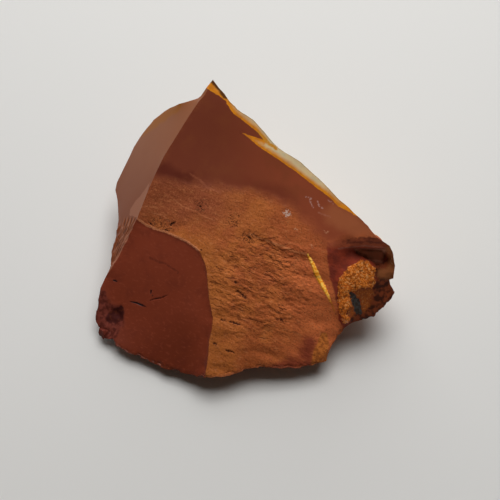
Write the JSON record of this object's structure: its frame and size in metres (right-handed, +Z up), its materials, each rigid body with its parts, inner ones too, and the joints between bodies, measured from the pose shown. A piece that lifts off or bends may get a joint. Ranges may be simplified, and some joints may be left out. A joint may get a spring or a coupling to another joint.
{
  "type": "rough mookaite stone",
  "caption": "Broken hand-size chunk of mookaite, a red-brown and maroon chert with cream and gold bands on its top edge, a pale pitted rind behind and a small flat spot to rest on.",
  "frame": {"origin": "centre of the flat spot that the stone rests on", "axes": "+X along the longest extent, to the right as seen from the front; +Y to the back, where the old rind is; +Z up, along the shortest extent"},
  "size_m": [0.0801, 0.0694, 0.0447],
  "materials": {
    "mookaite": "broken rough chert: waxy to glossy on the smooth fractures, matte and pitted on the rough ones and on the rind"
  },
  "bodies": {
    "root": {"stone": "mookaite"}
  },
  "joints": []
}
